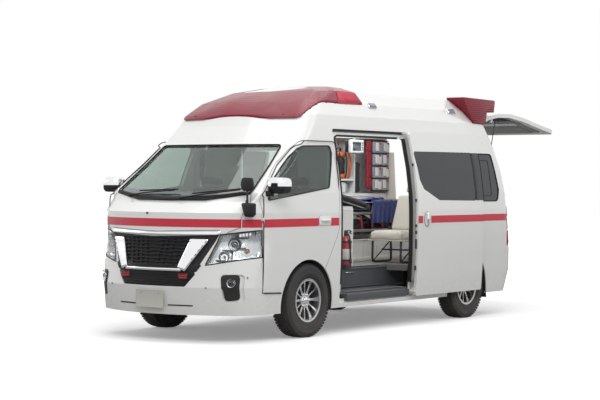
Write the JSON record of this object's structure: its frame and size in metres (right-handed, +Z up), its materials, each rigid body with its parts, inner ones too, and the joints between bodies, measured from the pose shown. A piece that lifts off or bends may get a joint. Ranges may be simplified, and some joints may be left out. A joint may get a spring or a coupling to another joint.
{
  "type": "high-roof van ambulance",
  "caption": "White high-roof van ambulance with red roof beacons, an open sliding side door, an open tailgate on gas struts and a fitted treatment room.",
  "frame": {"origin": "on the ground under the middle of the bounding box, the vehicle standing on its wheels", "axes": "+X to the vehicle's left, +Y to its tail along its length, +Z up"},
  "size_m": [2.2, 6.3508, 2.4399],
  "materials": {
    "body_paint": "pearl white gloss paint",
    "black_trim": "black plastic",
    "headlight_lens": "clear lamp glass",
    "tail_lens": "red lamp plastic",
    "beacon_lens": "red beacon plastic",
    "screen_glass": "green tinted glass",
    "door_glass": "tinted glass",
    "privacy_glass": "dark privacy glass",
    "chassis_black": "satin black",
    "cast_engine": "cast metal",
    "floor_vinyl": "grey floor vinyl",
    "rim_alloy": "silver alloy",
    "tyre_rubber": "black rubber",
    "steel": "steel",
    "seat_vinyl": "ivory vinyl",
    "cab_fabric": "grey cloth",
    "dash_plastic": "dark grey plastic",
    "cabinet_white": "white laminate",
    "blanket_blue": "blue blanket",
    "pad_black": "black vinyl pad",
    "kit_mixed": "red kit cloth",
    "chrome": "chrome plate"
  },
  "bodies": {
    "vehicle": {"attendant_seat": "seat_vinyl", "blanket": "blanket_blue", "bonnet": "body_paint", "cab_seats": "cab_fabric", "cabinets": "cabinet_white", "chassis_frame": "chassis_black", "corner_mirror": "black_trim", "dashboard": "dash_plastic", "door_rails": "black_trim", "engine": "cast_engine", "equipment": "kit_mixed", "exhaust": "steel", "floor": "floor_vinyl", "front_bumper": "body_paint", "front_suspension": "chassis_black", "fuel_tank": "chassis_black", "grille": "black_trim", "headlights": "headlight_lens", "partition": "cabinet_white", "propeller_shaft": "steel", "rear_axle": "chassis_black", "rear_bumper": "body_paint", "roof": "body_paint", "roof_beacons": "beacon_lens", "screen_frame": "body_paint", "side_panel_left": "body_paint", "side_panel_right": "body_paint", "side_windows": "privacy_glass", "sliding_door": "body_paint", "sliding_door_glass": "privacy_glass", "stretcher_frame": "steel", "stretcher_mattress": "pad_black", "stretcher_platform": "cabinet_white", "tail_lamps": "tail_lens", "wheel_housings": "chassis_black", "windscreen": "screen_glass", "wipers": "black_trim"},
    "front_door_left": {"front_door_left": "body_paint", "front_door_glass_left": "door_glass", "door_mirror_left": "chrome"},
    "front_door_right": {"front_door_right": "body_paint", "front_door_glass_right": "door_glass", "door_mirror_right": "chrome"},
    "tailgate": {"tailgate": "body_paint", "tailgate_glass": "privacy_glass"},
    "strut_cylinder_left": {"strut_cylinder_left": "chassis_black"},
    "strut_cylinder_right": {"strut_cylinder_right": "chassis_black"},
    "strut_rod_left": {"strut_rod_left": "steel"},
    "strut_rod_right": {"strut_rod_right": "steel"},
    "knuckle_left": {"knuckle_left": "chassis_black"},
    "knuckle_right": {"knuckle_right": "chassis_black"},
    "steering_wheel": {"steering_wheel": "dash_plastic"},
    "wheel_front_left": {"wheel_front_left": "rim_alloy", "tyre_front_left": "tyre_rubber"},
    "wheel_front_right": {"wheel_front_right": "rim_alloy", "tyre_front_right": "tyre_rubber"},
    "wheel_rear_left": {"wheel_rear_left": "rim_alloy", "tyre_rear_left": "tyre_rubber"},
    "wheel_rear_right": {"wheel_rear_right": "rim_alloy", "tyre_rear_right": "tyre_rubber"}
  },
  "joints": [
    {"name": "front_door_left_hinge", "type": "hinge", "parent": "vehicle", "child": "front_door_left", "pos_m": [0.92, -2.7165, 0.9], "axis": [0, 0, -1], "range_deg": [0, 70]},
    {"name": "front_door_right_hinge", "type": "hinge", "parent": "vehicle", "child": "front_door_right", "pos_m": [-0.92, -2.7165, 0.9], "axis": [0, 0, 1], "range_deg": [0, 70]},
    {"name": "tailgate_hinge", "type": "hinge", "parent": "vehicle", "child": "tailgate", "pos_m": [0, 1.564, 2.195], "axis": [1, 0, 0], "range_deg": [-72, 0]},
    {"name": "strut_cylinder_left_hinge", "type": "hinge", "parent": "vehicle", "child": "strut_cylinder_left", "pos_m": [0.71, 1.66, 1.35], "axis": [1, 0, 0], "range_deg": [0, 22.4]},
    {"name": "strut_rod_left_slide", "type": "slide", "parent": "strut_cylinder_left", "child": "strut_rod_left", "axis": [0, 0.2907, 0.9568], "range_m": [-0.3173, 0]},
    {"name": "strut_cylinder_right_hinge", "type": "hinge", "parent": "vehicle", "child": "strut_cylinder_right", "pos_m": [-0.71, 1.66, 1.35], "axis": [1, 0, 0], "range_deg": [0, 22.4]},
    {"name": "strut_rod_right_slide", "type": "slide", "parent": "strut_cylinder_right", "child": "strut_rod_right", "axis": [0, 0.2907, 0.9568], "range_m": [-0.3173, 0]},
    {"name": "steer_left", "type": "hinge", "parent": "vehicle", "child": "knuckle_left", "pos_m": [0.76, -2, 0.3465], "axis": [0, 0, 1], "range_deg": [-34, 34]},
    {"name": "steer_right", "type": "hinge", "parent": "vehicle", "child": "knuckle_right", "pos_m": [-0.76, -2, 0.3465], "axis": [0, 0, 1], "range_deg": [-34, 34]},
    {"name": "steering_wheel_turn", "type": "hinge", "parent": "vehicle", "child": "steering_wheel", "pos_m": [-0.45, -2.33, 1.13], "axis": [0, 0.6157, 0.788], "range_deg": [-545, 545]},
    {"name": "wheel_front_left_spin", "type": "hinge", "parent": "knuckle_left", "child": "wheel_front_left", "pos_m": [0.83, -2, 0.3465], "axis": [1, 0, 0], "continuous": true},
    {"name": "wheel_front_right_spin", "type": "hinge", "parent": "knuckle_right", "child": "wheel_front_right", "pos_m": [-0.83, -2, 0.3465], "axis": [1, 0, 0], "continuous": true},
    {"name": "wheel_rear_left_spin", "type": "hinge", "parent": "vehicle", "child": "wheel_rear_left", "pos_m": [0.83, 0.94, 0.3465], "axis": [1, 0, 0], "continuous": true},
    {"name": "wheel_rear_right_spin", "type": "hinge", "parent": "vehicle", "child": "wheel_rear_right", "pos_m": [-0.83, 0.94, 0.3465], "axis": [1, 0, 0], "continuous": true}
  ],
  "couplings": [
    {"joint": "steer_right", "follows": "steer_left", "ratio": 1},
    {"joint": "steering_wheel_turn", "follows": "steer_left", "ratio": 16},
    {"joint": "strut_cylinder_left_hinge", "follows": "tailgate_hinge", "ratio": -0.3041},
    {"joint": "strut_rod_left_slide", "follows": "tailgate_hinge", "m_per_rad": 0.2509},
    {"joint": "strut_cylinder_right_hinge", "follows": "tailgate_hinge", "ratio": -0.3041},
    {"joint": "strut_rod_right_slide", "follows": "tailgate_hinge", "m_per_rad": 0.2509}
  ]
}
